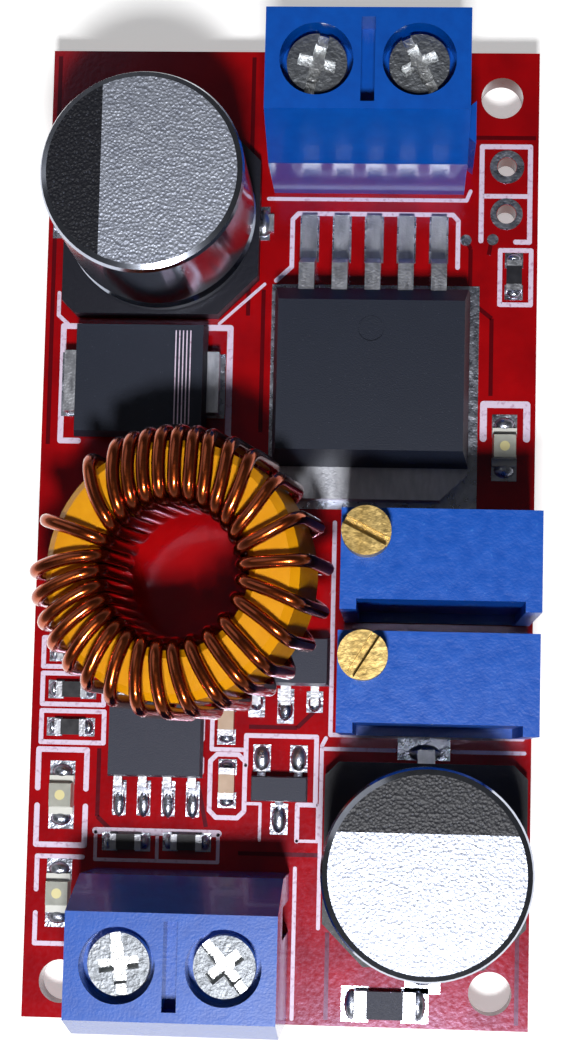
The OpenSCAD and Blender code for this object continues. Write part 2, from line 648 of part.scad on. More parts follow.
module chip_resistor_bodies() color([0.08, 0.08, 0.1]) at_list(chip_resistors)
    chip_body(chip_resistor_size);
module chip_resistor_ends() color([0.8, 0.8, 0.8]) at_list(chip_resistors)
    chip_ends(chip_resistor_size);
module chip_capacitor_bodies() color([0.62, 0.5, 0.38]) at_list(chip_capacitors)
    chip_body(chip_capacitor_size);
module chip_capacitor_ends() color([0.8, 0.8, 0.8]) at_list(chip_capacitors)
    chip_ends(chip_capacitor_size);
module lamp_bases() color([0.82, 0.82, 0.8]) at_list(lamps) block(lamp_size.x, lamp_size.y, 0, 0.3);
module lamp_lenses() color([0.9, 0.9, 0.82, 0.8]) at_list(lamps)
    moulded(lamp_size.x - 0.7, lamp_size.y, 0.3, 0.32, lamp_size.z, 0.06);
module shunt_resistor_body() color([0.12, 0.12, 0.14]) at_pos(shunt_pos) chip_body(shunt_size);
module shunt_resistor_ends() color([0.8, 0.8, 0.8]) at_pos(shunt_pos) chip_ends(shunt_size);

circuit_board();
underside_solder_joints();
input_terminal_housing();
output_terminal_housing();
terminal_contact_pins();
input_left_terminal_screw();
input_right_terminal_screw();
output_left_terminal_screw();
output_right_terminal_screw();
input_left_clamp_cage();
input_right_clamp_cage();
output_left_clamp_cage();
output_right_clamp_cage();
input_capacitor_can();
input_capacitor_base();
output_capacitor_can();
output_capacitor_base();
capacitor_leads();
regulator_body();
regulator_tab();
regulator_leads();
diode_body();
diode_leads();
inductor_core();
inductor_winding();
voltage_trimmer_housing();
current_trimmer_housing();
voltage_trimmer_screw();
current_trimmer_screw();
trimmer_pins();
amplifier_body();
amplifier_leads();
small_regulator_body();
small_regulator_leads();
reference_body();
reference_leads();
chip_resistor_bodies();
chip_resistor_ends();
chip_capacitor_bodies();
chip_capacitor_ends();
lamp_bases();
lamp_lenses();
shunt_resistor_body();
shunt_resistor_ends();
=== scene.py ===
import math

import bmesh
import bpy
from mathutils import Matrix, Vector


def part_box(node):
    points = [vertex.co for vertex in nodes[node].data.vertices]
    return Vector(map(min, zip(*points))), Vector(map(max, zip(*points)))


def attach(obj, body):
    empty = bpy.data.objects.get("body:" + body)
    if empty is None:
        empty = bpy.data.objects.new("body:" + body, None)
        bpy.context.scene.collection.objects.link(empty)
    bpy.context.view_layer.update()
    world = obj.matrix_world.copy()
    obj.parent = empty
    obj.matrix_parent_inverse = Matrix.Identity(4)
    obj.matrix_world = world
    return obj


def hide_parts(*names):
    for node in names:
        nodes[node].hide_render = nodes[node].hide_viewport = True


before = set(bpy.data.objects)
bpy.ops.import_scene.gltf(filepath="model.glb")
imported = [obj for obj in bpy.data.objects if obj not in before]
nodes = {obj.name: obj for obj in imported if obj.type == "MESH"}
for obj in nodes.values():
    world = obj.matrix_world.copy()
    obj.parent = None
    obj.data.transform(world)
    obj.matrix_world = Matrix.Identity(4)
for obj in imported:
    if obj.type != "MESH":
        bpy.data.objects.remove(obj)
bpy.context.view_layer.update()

MM = 0.001
BOARD_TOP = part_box("circuit_board")[1].z
BOARD_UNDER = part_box("circuit_board")[0].z
# how far printed ink and tinned pads stand up from the board
INK = 0.02 * MM
PAD = 0.035 * MM
# the room's light on the part, and what its pale walls add in reflections
AMBIENT = 0.045
WALL = 0.22
# the floor's own glow, and where it fades to plain white, in millimetres from the part
FLOOR_GLOW = 0.42
FADE_FROM = 60
FADE_TO = 160
# places shared by pads, solder and rings, in millimetres on the part
REGULATOR_X = 4.37
REGULATOR_PITCH = 1.7
AMPLIFIER_X = -6.32
AMPLIFIER_PITCH = 1.27
AMPLIFIER_STEPS = (-1.5, -0.5, 0.5, 1.5)
HEADER_HOLES = [(11.3, 16.79), (11.3, 19.33)]


# ---- finishes ----

def paint(red, green, blue):
    """A colour from its 0 to 255 screen values."""
    def linear(value):
        part = value / 255
        return part / 12.92 if part <= 0.04045 else ((part + 0.055) / 1.055) ** 2.4
    return (linear(red), linear(green), linear(blue), 1.0)


class Amount:
    """A shader socket that can be added, multiplied and compared like a number."""

    def __init__(self, finish, socket):
        self.finish = finish
        self.socket = socket

    def maths(self, operation, *values):
        made = self.finish.node("ShaderNodeMath", {"operation": operation}, *values)
        return made.out()

    def __add__(self, other):
        return self.maths("ADD", self, other)

    def __sub__(self, other):
        return self.maths("SUBTRACT", self, other)

    def __rsub__(self, other):
        return self.maths("SUBTRACT", other, self)

    def __mul__(self, other):
        return self.maths("MULTIPLY", self, other)

    def __gt__(self, other):
        return self.maths("GREATER_THAN", self, other)

    def __lt__(self, other):
        return self.maths("LESS_THAN", self, other)

    def power(self, exponent):
        return self.maths("POWER", self, exponent)

    def larger(self, other):
        return self.maths("MAXIMUM", self, other)

    def distance(self):
        return self.maths("ABSOLUTE", self)

    __radd__ = __add__
    __rmul__ = __mul__


class Made:
    """A node and the finish that it is in."""

    def __init__(self, finish, node):
        self.finish = finish
        self.node = node

    def out(self, name=0):
        return Amount(self.finish, self.node.outputs[name])


class Finish:
    """A procedural material, with places in millimetres on the part."""

    def __init__(self, name, colour, rough, metal=0.0, **constants):
        self.material = bpy.data.materials.new(name)
        self.material.use_nodes = True
        self.tree = self.material.node_tree
        self.surface = self.tree.nodes["Principled BSDF"]
        self.set("Base Color", colour)
        self.set("Roughness", rough)
        self.set("Metallic", metal)
        for key, value in constants.items():
            self.set(key.replace("_", " ").title().replace("Ior", "IOR"), value)
        self.place = self.node("ShaderNodeTexCoord", {}).out("Object")

    def node(self, kind, settings, *values, **named):
        made = self.tree.nodes.new(kind)
        for key, value in settings.items():
            setattr(made, key, value)
        for key, value in list(enumerate(values)) + list(named.items()):
            if isinstance(key, str):
                key = key.replace("_", " ")
            self.fill(made.inputs[key], value)
        return Made(self, made)

    def fill(self, socket, value):
        if isinstance(value, Amount):
            self.tree.links.new(value.socket, socket)
        else:
            socket.default_value = value

    def join(self, source, target, socket):
        self.tree.links.new(source.outputs[0], target.inputs[socket])

    def set(self, name, value):
        self.fill(self.surface.inputs[name], value)

    def noise(self, size, detail=2.0, stretch=(1, 1, 1)):
        """Cloudy grain, with features about size millimetres across."""
        where = self.node("ShaderNodeMapping", {}, Vector=self.place, Scale=stretch).out()
        return self.node("ShaderNodeTexNoise", {}, Vector=where, Scale=1 / (size * MM),
                         Detail=detail).out()

    def cells(self, size):
        """Distance from scattered points, about size millimetres apart."""
        return self.node("ShaderNodeTexVoronoi", {}, Vector=self.place,
                         Scale=1 / (size * MM)).out("Distance")

    def axis(self, letter):
        """The place along X, Y or Z, in millimetres."""
        parts = self.node("ShaderNodeSeparateXYZ", {}, self.place)
        return parts.out(letter) * (1 / MM)

    def facing(self, letter):
        """How far the surface faces along an axis of the part."""
        parts = self.node("ShaderNodeSeparateXYZ", {},
                          self.node("ShaderNodeNewGeometry", {}).out("Normal"))
        return parts.out(letter)

    def blend(self, share, first, second):
        """first where share is 0, second where it is 1."""
        mixed = self.node("ShaderNodeMix", {"data_type": "RGBA"})
        self.fill(mixed.node.inputs[0], share)
        self.fill(mixed.node.inputs[6], first)
        self.fill(mixed.node.inputs[7], second)
        return mixed.out(2)

    def step(self, amount, low, high):
        """0 below low, 1 above high, even between."""
        return self.node("ShaderNodeMapRange", {}, Value=amount, From_Min=low,
                         From_Max=high).out()

    def bump(self, height, depth, strength=1.0):
        """Relief: height from 0 to 1 is worth depth millimetres."""
        relief = self.node("ShaderNodeBump", {}, Strength=strength, Distance=depth * MM,
                           Height=height)
        self.set("Normal", relief.out())


def board_mask():
    """Red solder mask over copper, a deeper and a paler red in broad clouds."""
    finish = Finish("board_mask", paint(150, 3, 6), 0.14, specular_ior_level=0.7,
                    specular_tint=(0.8, 0.66, 1.0, 1))
    cloud = finish.noise(3.0, 3)
    grain = finish.noise(0.25, 2)
    edge = finish.facing("Z").distance() < 0.5
    red = finish.blend(finish.step(cloud, 0.35, 0.7), paint(134, 2, 5), paint(166, 4, 7))
    finish.set("Base Color", finish.blend(edge, red, paint(120, 62, 30)))
    finish.set("Roughness", 0.1 + grain * 0.1)
    finish.bump(cloud * 0.6 + grain * 0.4, 0.02, 0.5)
    return finish.material


def mask_gap():
    """The mask where it dips between two areas of copper."""
    finish = Finish("mask_gap", paint(84, 2, 6), 0.3, specular_tint=(0.8, 0.66, 1.0, 1))
    finish.set("Roughness", 0.15 + finish.noise(0.3) * 0.1)
    return finish.material


def board_print():
    """Pale ink, thinner in places so that the red shows through."""
    finish = Finish("board_print", paint(222, 196, 204), 0.5)
    worn = finish.step(finish.noise(0.22, 4), 0.55, 0.8)
    finish.set("Base Color", finish.blend(worn, paint(214, 196, 218), paint(164, 116, 146)))
    finish.set("Roughness", 0.42 + finish.noise(0.1) * 0.2)
    finish.bump(finish.noise(0.08), 0.01, 0.5)
    return finish.material


def solder():
    """Shiny tin with soft ripples."""
    finish = Finish("solder", paint(196, 200, 208), 0.24, 1.0)
    ripple = finish.noise(0.45, 2)
    finish.set("Base Color", finish.blend(ripple, paint(140, 146, 166), paint(214, 218, 230)))
    finish.set("Roughness", 0.14 + ripple * 0.3)
    finish.bump(ripple * 0.7 + finish.noise(0.12) * 0.3, 0.08, 0.7)
    return finish.material


def tinned_metal(name, rough):
    """Dull tin plate on copper leads."""
    finish = Finish(name, paint(186, 188, 198), rough, 1.0)
    streak = finish.noise(0.3, 3, (1, 0.3, 1))
    finish.set("Base Color", finish.blend(streak, paint(150, 152, 164), paint(214, 216, 222)))
    finish.set("Roughness", rough + streak * 0.26)
    finish.bump(finish.noise(0.12, 3), 0.03, 0.5)
    return finish.material


def terminal_blue():
    """Glossy blue nylon with a faint orange-peel skin and tool marks."""
    finish = Finish("terminal_blue", paint(0, 74, 168), 0.2, specular_ior_level=0.4,
                    coat_weight=0.2, coat_roughness=0.05)
    skin = finish.noise(0.7, 3)
    fine = finish.noise(0.12, 2)
    finish.set("Base Color", finish.blend(skin, paint(0, 66, 156), paint(0, 84, 184)))
    finish.set("Roughness", 0.14 + finish.facing("Z").distance() * 0.2 + fine * 0.06)
    finish.bump(skin * 0.5 + fine * 0.5, 0.035, 0.35)
    return finish.material


def screw_steel():
    """Plated steel: the faces beside the slots are rougher and carry painted shade in a darker
    grey, the slot floors carry a painted highlight in near white.
    """
    finish = Finish("screw_steel", paint(190, 196, 202), 0.28, 1.0)
    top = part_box("input_left_terminal_screw")[1].z / MM
    face = finish.step(finish.axis("Z"), top - 0.16, top - 0.05)
    cloud = finish.noise(0.5, 4)
    # painted highlight for the slot floors and painted shade for the faces beside the slots,
    # picked by height below the head's top
    slot_painted_highlight = finish.blend(cloud, paint(190, 194, 198), paint(244, 246, 248))
    face_painted_shade = finish.blend(cloud, paint(84, 88, 94), paint(150, 154, 160))
    finish.set("Base Color", finish.blend(face, slot_painted_highlight, face_painted_shade))
    finish.set("Roughness", 0.26 + face * 0.14 + finish.noise(0.2) * 0.16)
    finish.bump(finish.noise(0.3, 2) * 0.6 + finish.noise(0.12, 3) * 0.4, 0.1, 0.7)
    return finish.material


def clamp_steel():
    """Bare steel of the clamp cages, rolled up and down."""
    finish = Finish("clamp_steel", paint(176, 176, 170), 0.35, 1.0)
    streak = finish.noise(0.35, 3, (1, 1, 0.3))
    finish.set("Base Color", finish.blend(streak, paint(140, 140, 136), paint(200, 200, 192)))
    finish.set("Roughness", 0.28 + streak * 0.2)
    finish.bump(streak, 0.02, 0.5)
    return finish.material


def can_aluminium(name, node, across, along, side, reach):
    """Rolled aluminium can: a grained top with a printed dark segment, a bright rolled edge
    and smooth sides. The segment lies beyond reach from the middle, on the given side."""
    low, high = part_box(node)
    middle = (low + high) / 2 / MM
    finish = Finish(name, paint(186, 190, 200), 0.3, 1.0)
    radius = (high.x - low.x) / 2 / MM
    dx = finish.axis("X") - middle.x
    dy = finish.axis("Y") - middle.y
    out = (dx * dx + dy * dy).power(0.5)
    top = finish.facing("Z") > 0.95
    beyond = (dx * across + dy * along) * side > reach
    inked = top * beyond * (out < radius - 0.32)
    grain = finish.cells(0.16)
    fine = finish.noise(0.09, 3)
    metal = finish.blend(finish.noise(0.6, 4), paint(146, 152, 170), paint(204, 210, 224))
    speck = finish.step(fine * 0.6 + (1 - grain) * 0.4, 0.62, 0.8)
    ink = finish.blend(speck * 0.4, paint(14, 16, 26), paint(120, 126, 146))
    finish.set("Base Color", finish.blend(inked, metal, ink))
    finish.set("Metallic", 1.0 - inked * 0.8)
    finish.set("Roughness", 0.16 + top * 0.24 + fine * top * 0.16)
    finish.bump(top * (grain * 0.6 + fine * 0.4), 0.07, 0.65)
    return finish.material


def black_base():
    """Dull black moulding under the cans."""
    finish = Finish("black_base", paint(20, 21, 32), 0.42, specular_ior_level=0.35)
    grain = finish.noise(0.2, 3)
    finish.set("Roughness", 0.34 + grain * 0.2)
    finish.bump(grain, 0.02, 0.4)
    return finish.material


def black_epoxy(name, shade, sparkle):
    """Moulding compound: near black, with a fine matte skin and pale glass specks."""
    finish = Finish(name, paint(*shade), 0.55, specular_ior_level=0.3)
    fine = finish.noise(0.07, 3)
    speck = finish.step(finish.cells(0.2), 0.13, 0.06)
    pale = tuple(min(255, 44 + value) for value in shade)
    skin = finish.blend(finish.noise(1.6, 3) * 0.5, paint(*shade),
                        paint(*(value + 8 for value in shade)))
    share = speck * finish.step(finish.noise(0.33, 2), 0.5, 0.62) * sparkle
    finish.set("Base Color", finish.blend(share, skin, paint(*pale)))
    finish.set("Roughness", 0.44 + fine * 0.22)
    finish.bump(fine * 0.7 + speck * 0.3, 0.03, 0.6)
    return finish.material


def core_paint():
    """Thick yellow powder paint on the ring."""
    finish = Finish("core_paint", paint(214, 144, 2), 0.4, specular_ior_level=0.3)
    cloud = finish.noise(1.4, 3)
    finish.set("Base Color", finish.blend(cloud, paint(198, 126, 1), paint(228, 160, 4)))
    finish.set("Roughness", 0.34 + finish.noise(0.2) * 0.2)
    finish.bump(finish.noise(0.35, 3), 0.05, 0.4)
    return finish.material


def enamelled_copper():
    """Copper wire under a clear red-brown enamel."""
    finish = Finish("enamelled_copper", paint(168, 74, 30), 0.2, 1.0, coat_weight=0.8,
                    coat_roughness=0.05)
    streak = finish.noise(0.8, 3)
    finish.set("Base Color", finish.blend(streak, paint(132, 44, 18), paint(204, 98, 42)))
    finish.set("Roughness", 0.14 + finish.noise(0.25) * 0.16)
    finish.bump(finish.noise(0.4, 2), 0.03, 0.35)
    return finish.material


def trimmer_blue():
    """Blue moulding with a dusty, slightly rippled top."""
    finish = Finish("trimmer_blue", paint(2, 74, 168), 0.34, specular_ior_level=0.4)
    ripple = finish.noise(0.6, 4)
    dust = finish.step(finish.noise(0.16, 3), 0.66, 0.74) * finish.step(ripple, 0.45, 0.6)
    blue = finish.blend(ripple, paint(0, 64, 156), paint(2, 84, 184))
    finish.set("Base Color", finish.blend(dust * 0.35, blue, paint(70, 134, 214)))
    finish.set("Roughness", 0.26 + ripple * 0.2)
    finish.bump(ripple * 0.7 + finish.noise(0.14) * 0.3, 0.06, 0.5)
    return finish.material


def screw_brass():
    """Turned brass with driver scratches."""
    finish = Finish("screw_brass", paint(196, 164, 96), 0.34, 1.0)
    scratch = finish.noise(0.5, 4, (1, 0.2, 1))
    finish.set("Base Color", finish.blend(scratch, paint(150, 118, 58), paint(226, 198, 132)))
    finish.set("Roughness", 0.24 + finish.noise(0.2, 3) * 0.3)
    finish.bump(scratch * 0.6 + finish.noise(0.3, 3) * 0.5, 0.08, 0.6)
    return finish.material


def chip_ceramic(name, shade):
    """Glazed ceramic of the small chips."""
    finish = Finish(name, paint(*shade), 0.3, coat_weight=0.3, coat_roughness=0.1)
    cloud = finish.noise(0.4, 3)
    light = tuple(min(255, value + 14) for value in shade)
    finish.set("Base Color", finish.blend(cloud, paint(*shade), paint(*light)))
    finish.set("Roughness", 0.24 + cloud * 0.2)
    finish.bump(cloud, 0.015, 0.4)
    return finish.material


def lamp_lens():
    """Clear resin, slightly cloudy."""
    finish = Finish("lamp_lens", paint(206, 206, 196), 0.16, transmission_weight=0.35,
                    coat_weight=0.5)
    finish.set("Base Color", finish.blend(finish.noise(0.5), paint(176, 178, 170),
                                          paint(224, 224, 212)))
    finish.set("Roughness", 0.12 + finish.noise(0.2) * 0.1)
    return finish.material


def lamp_base():
    """White ceramic under the lens."""
    finish = Finish("lamp_base", paint(206, 206, 200), 0.4)
    finish.set("Roughness", 0.34 + finish.noise(0.2) * 0.2)
    finish.bump(finish.noise(0.15), 0.01, 0.4)
    return finish.material


def lamp_chip():
    """The pale yellow chip inside a lamp."""
    finish = Finish("lamp_chip", paint(216, 206, 150), 0.3)
    finish.set("Roughness", 0.24 + finish.noise(0.1) * 0.2)
    return finish.material


def seen_directly(finish):
    """1 for the rays that should meet the plain pale background, 0 for the light itself."""
    ray = finish.node("ShaderNodeLightPath", {})
    return ray.out("Is Camera Ray").larger(ray.out("Is Glossy Ray")).larger(
        ray.out("Is Transmission Ray"))


def floor_paper():
    """A pale floor: it keeps the part's shadow near the part and is plain white further out."""
    finish = Finish("floor_paper", (0.86, 0.86, 0.86, 1), 0.95, specular_ior_level=0.0)
    far = finish.node("ShaderNodeVectorMath", {"operation": "LENGTH"}, finish.place)
    away = finish.step(far.out("Value") * (1 / MM), FADE_FROM, FADE_TO)
    white = finish.node("ShaderNodeEmission", {}, Color=(1, 1, 1, 1),
                        Strength=FLOOR_GLOW + away * (1 - FLOOR_GLOW))
    sum_of_both = finish.node("ShaderNodeAddShader", {})
    glow = finish.node("ShaderNodeMixShader", {})
    plain = finish.node("ShaderNodeMixShader", {})
    finish.join(finish.surface, sum_of_both.node, 0)
    finish.join(white.node, sum_of_both.node, 1)
    finish.fill(plain.node.inputs[0], away)
    finish.join(sum_of_both.node, plain.node, 1)
    finish.join(white.node, plain.node, 2)
    finish.fill(glow.node.inputs[0], seen_directly(finish))
    finish.join(finish.surface, glow.node, 1)
    finish.join(plain.node, glow.node, 2)
    finish.join(glow.node, finish.tree.nodes["Material Output"], 0)
    return finish.material


def dress(material, *names):
    """Gives CAD nodes their finish."""
    for name in names:
        mesh = nodes[name].data
        mesh.materials.clear()
        mesh.materials.append(material)


def matching(ending):
    return [name for name in nodes if name.endswith(ending)]


# ---- making pieces ----

def piece(name, build, material, body="module", smooth=False):
    """A new mesh made by build, riding on a body."""
    work = bmesh.new()
    build(work)
    bmesh.ops.recalc_face_normals(work, faces=work.faces)
    mesh = bpy.data.meshes.new(name)
    work.to_mesh(mesh)
    work.free()
    for face in mesh.polygons:
        face.use_smooth = smooth
    mesh.materials.append(material)
    made = bpy.data.objects.new(name, mesh)
    bpy.context.collection.objects.link(made)
    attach(made, body)
    return made


def bar(work, start, end, width, base, height):
    """A flat bar from start to end, in millimetres on the board."""
    first, last = Vector(start), Vector(end)
    run = last - first
    middle = (first + last) / 2
    size = Matrix.Diagonal((run.length * MM, width * MM, height, 1))
    turn = Matrix.Rotation(math.atan2(run.y, run.x), 4, "Z")
    place = Matrix.Translation((middle.x * MM, middle.y * MM, base + height / 2))
    bmesh.ops.create_cube(work, size=1, matrix=place @ turn @ size)


def dot(work, centre, radius, base, height, sides=20):
    bmesh.ops.create_cone(work, cap_ends=True, segments=sides, radius1=radius * MM,
                          radius2=radius * MM, depth=height, matrix=Matrix.Translation(
                              (centre[0] * MM, centre[1] * MM, base + height / 2)))


def line(work, points, width, closed=False):
    """An inked line through the points, with round corners."""
    ends = points[1:] + (points[:1] if closed else [])
    for step, (start, end) in enumerate(zip(points, ends)):
        bar(work, start, end, width, BOARD_TOP, INK * (1 + 0.06 * (step % 3)))
    for point in points:
        dot(work, point, width / 2, BOARD_TOP, INK * 1.25)


def box_line(work, left, right, bottom, top, width=0.24):
    line(work, [(left, bottom), (right, bottom), (right, top), (left, top)], width, True)


def pad(work, centre, length, width):
    """A tinned pad, length along X."""
    bar(work, (centre[0] - length / 2, centre[1]), (centre[0] + length / 2, centre[1]), width,
        BOARD_TOP, PAD)


def mound(work, centre, size):
    """A rounded heap of solder, size across, along and up from the board."""
    place = Matrix.Translation((centre[0] * MM, centre[1] * MM, BOARD_TOP))
    scale = Matrix.Diagonal((size[0] / 2 * MM, size[1] / 2 * MM, size[2] * MM, 1))
    made = bmesh.ops.create_uvsphere(work, u_segments=16, v_segments=10, radius=1,
                                     matrix=place @ scale)
    below = [v for v in made["verts"] if v.co.z < BOARD_TOP - 1e-9]
    for v in below:
        v.co.z = BOARD_TOP


# ---- the wound wire ----

TURNS_OUTER = [127.5, 114, 107.2, 100.6, 94, 87.4, 80.8, 74.2, 65, 54.9, 40.2, 22, 4, -14, -29,
               -43, -54, -66, -79, -90, -101, -113.6, -125.6, -136.5, -147.8, -157.5, -168.1,
               -179.2, -201]
TURNS_INNER = [144.8, 133.1, 121.4, 109.7, 98, 86.3, 74.6, 62.9, 51.2, 39.5, 27.8, 16.1, 4.4,
               -7.3, -21.6, -40.3, -56.6, -72.2, -85.3, -97.7, -109.9, -121.6, -133.3, -145,
               -156.7, -168.4, -180.1, -191.8, -203.5]
# radius of the wire, the ring that its middle follows, and how it bends and bows, in millimetres
WIRE = 0.34
PATH_IN = 3.48
PATH_OUT = 6.86
PATH_UP = 2.77
BEND = 1.1
BOW = 0.3
LEAN = math.radians(10)
# the wire's two ends: where they stop over the board's underside, and how they leave the ring
LEAD_FOOT = 0.2
START_LIFT = 0.55
START_RISE = 0.5
END_OUT = 0.25
END_BACK = 5


def core_middle():
    low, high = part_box("inductor_core")
    return (low + high) / 2 / MM


def on_ring(radius, angle, height):
    """A place round the leaning core, in millimetres on the part."""
    turn = math.radians(angle)
    flat = Vector((radius * math.cos(turn), radius * math.sin(turn), height))
    return core_middle() + Matrix.Rotation(-LEAN, 3, "Y") @ flat


def wire_corners():
    """Where the wire bends: up from the board, round each turn, and down to the board."""
    start = on_ring(PATH_OUT, TURNS_OUTER[0], -PATH_UP + START_LIFT)
    corners = [Vector((start.x, start.y, LEAD_FOOT)),
               Vector((start.x, start.y, start.z - START_RISE))]
    for outer, inner in zip(TURNS_OUTER, TURNS_INNER):
        corners += [on_ring(PATH_OUT, outer, -PATH_UP), on_ring(PATH_OUT, outer, PATH_UP),
                    on_ring((PATH_IN + PATH_OUT) / 2, (outer + inner) / 2, PATH_UP + BOW),
                    on_ring(PATH_IN, inner, PATH_UP), on_ring(PATH_IN, inner, -PATH_UP)]
    end = on_ring(PATH_OUT + END_OUT, TURNS_INNER[-1] - END_BACK, -PATH_UP)
    corners += [end, Vector((end.x, end.y, LEAD_FOOT))]
    return corners


def rounded(corners, bend, steps):
    """The corners joined by straight runs and smooth bends."""
    path = [corners[0]]
    for before, corner, after in zip(corners, corners[1:], corners[2:]):
        back, on = before - corner, after - corner
        first = corner + back.normalized() * min(bend, back.length * 0.48)
        last = corner + on.normalized() * min(bend, on.length * 0.48)
        for step in range(steps + 1):
            part = step / steps
            path.append(first.lerp(corner, part).lerp(corner.lerp(last, part), part))
    return path + [corners[-1]]


def wound_wire(material):
    path = rounded(wire_corners(), BEND, 6)
    curve = bpy.data.curves.new("wound_wire", "CURVE")
    curve.dimensions = "3D"
    curve.bevel_depth = WIRE * MM
    curve.bevel_resolution = 4
    curve.use_fill_caps = True
    spline = curve.splines.new("POLY")
    spline.points.add(len(path) - 1)
    for point, place in zip(spline.points, path):
        point.co = (*(place * MM), 1)
    sketch = bpy.data.objects.new("wound_wire_sketch", curve)
    bpy.context.collection.objects.link(sketch)
    view = bpy.context.evaluated_depsgraph_get()
    mesh = bpy.data.meshes.new_from_object(sketch.evaluated_get(view))
    bpy.data.objects.remove(sketch)
    mesh.name = "wound_wire"
    mesh.materials.clear()
    mesh.materials.append(material)
    for face in mesh.polygons:
        face.use_smooth = True
    made = bpy.data.objects.new("wound_wire", mesh)
    bpy.context.collection.objects.link(made)
    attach(made, "module")
    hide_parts("inductor_winding")


# ---- the board's print, pads and solder ----

def board_lines(work):
    """Printed outlines of the parts."""
    # pin header and the chip resistor beside the regulator
    line(work, [(9.98, 15.35), (9.98, 20.42), (12.52, 20.42), (12.52, 15.3), (11.8, 15.3)], 0.26)
    line(work, [(9.98, 17.75), (12.52, 17.75)], 0.24)
    box_line(work, 11.0, 12.62, 11.95, 14.85)
    # regulator
    line(work, [(-0.75, 13.1), (0.05, 13.85), (0.05, 16.4), (0.35, 16.72), (8.5, 16.72),
                (8.78, 16.4), (8.78, 13.9)], 0.24)
    line(work, [(-1.25, 17.5), (9.2, 17.5), (9.4, 18.0)], 0.2)
    # capacitors
    line(work, [(-1.35, 12.9), (-3.7, 10.75)], 0.16)
    line(work, [(-12.25, 12.3), (-12.25, 11.1), (-11.7, 10.6)], 0.2)
    line(work, [(2.2, -20.6), (2.2, -11.45), (5.95, -11.45)], 0.2)
    line(work, [(8.95, -11.45), (12.6, -11.45)], 0.2)
    # diode
    line(work, [(-4.4, 10.52), (-3.1, 10.52), (-3.1, 4.4), (-4.4, 4.4)], 0.32)
    line(work, [(-11.0, 10.52), (-11.95, 10.52), (-11.95, 4.4), (-11.0, 4.4)], 0.3)
    # lamps
    line(work, [(10.25, 4.85), (10.25, 6.65), (12.5, 6.65), (12.5, 4.85)], 0.36)
    line(work, [(-12.5, -13.8), (-12.5, -11.8), (-9.98, -11.8), (-9.98, -13.8)], 0.28)
    line(work, [(-12.5, -14.7), (-12.5, -16.7), (-9.98, -16.7), (-9.98, -14.7)], 0.28)
    line(work, [(-12.4, -19.0), (-12.4, -17.3), (-10.05, -17.3)], 0.24)
    line(work, [(-12.4, -20.2), (-12.4, -21.75), (-10.9, -21.75)], 0.24)
    # chip resistors
    box_line(work, -12.42, -9.2, -9.45, -7.85)
    box_line(work, -12.42, -9.15, -11.42, -9.8)
    box_line(work, -12.42, -9.3, -7.5, -6.0)
    line(work, [(-9.4, -15.93), (-3.05, -15.93)], 0.36)
    line(work, [(-9.4, -16.0), (-9.4, -17.4), (-3.05, -17.4), (-3.05, -16.0)], 0.18)
    line(work, [(-6.2, -16.0), (-6.2, -17.3)], 0.18)
    # chip capacitors
    line(work, [(-3.2, -11.85), (-2.1, -11.85), (-1.75, -12.2), (-1.75, -14.75), (-2.1, -15.1),
                (-3.2, -15.1), (-3.55, -14.75), (-3.55, -12.2)], 0.24, True)
    line(work, [(-3.5, -9.9), (-3.5, -11.6), (-1.9, -11.6)], 0.22)
    line(work, [(-4.02, -9.9), (-4.02, -11.1)], 0.28)
    line(work, [(-4.02, -12.1), (-4.02, -12.8)], 0.28)
    # reference
    line(work, [(-1.72, -12.4), (-1.72, -10.85), (1.92, -10.85), (1.92, -14.35), (1.0, -14.35),
                (1.0, -16.2)], 0.24)
    line(work, [(-1.72, -12.4), (-1.72, -14.35), (-0.92, -14.35), (-0.92, -16.2)], 0.16)
    line(work, [(1.0, -16.2), (2.05, -16.2), (2.05, -14.35)], 0.16)
    # trimmers
    line(work, [(2.62, 0.3), (2.62, -10.72), (12.5, -10.72)], 0.22)
    line(work, [(2.4, -10.9), (2.2, -11.3)], 0.2)
    # output terminals
    line(work, [(0.95, -17.6), (0.95, -25.2)], 0.2)


def seams(work):
    """Gaps between areas of copper, seen through the mask."""
    for points in (
            [(2.68, -20.8), (2.68, -25.2)], [(12.35, -20.4), (12.35, -25.2)],
            [(-9.35, -11.7), (-9.35, -15.2), (-8.6, -15.9)], [(-4.2, -13.2), (-3.7, -15.6)],
            [(9.45, 12.6), (9.45, 14.9), (9.2, 15.4)], [(10.55, 15.4), (10.4, 14.6)],
            [(-2.2, 11.2), (-2.2, 25.2)], [(9.4, 20.9), (12.8, 20.9)],
            [(9.6, 12.0), (10.6, 11.2), (10.6, 7.1)], [(-12.6, 4.2), (-12.6, 25.2)],
            [(2.1, -9.2), (0.9, -10.4), (-1.6, -10.4)], [(-2.0, -16.9), (2.2, -16.9)],
            [(-1.4, 5.0), (-1.4, 12.6)]):
        for start, end in zip(points, points[1:]):
            bar(work, start, end, 0.22, BOARD_TOP, INK * 0.5)


def chips():
    """Place and turn of the small chips: x and y in millimetres and the turn in degrees."""
    flat = [(-10.85, -6.75), (-10.85, -8.68), (-10.87, -10.62), (-7.8, -16.45), (-4.66, -16.4)]
    upright = [(11.73, 13.45), (-2.65, -13.35), (-2.75, -10.1)]
    return [(x, y, 0) for x, y in flat] + [(x, y, 90) for x, y in upright]


LAMPS = [(-11.22, -14.13), (-11.22, -19.15), (11.35, 4.37)]


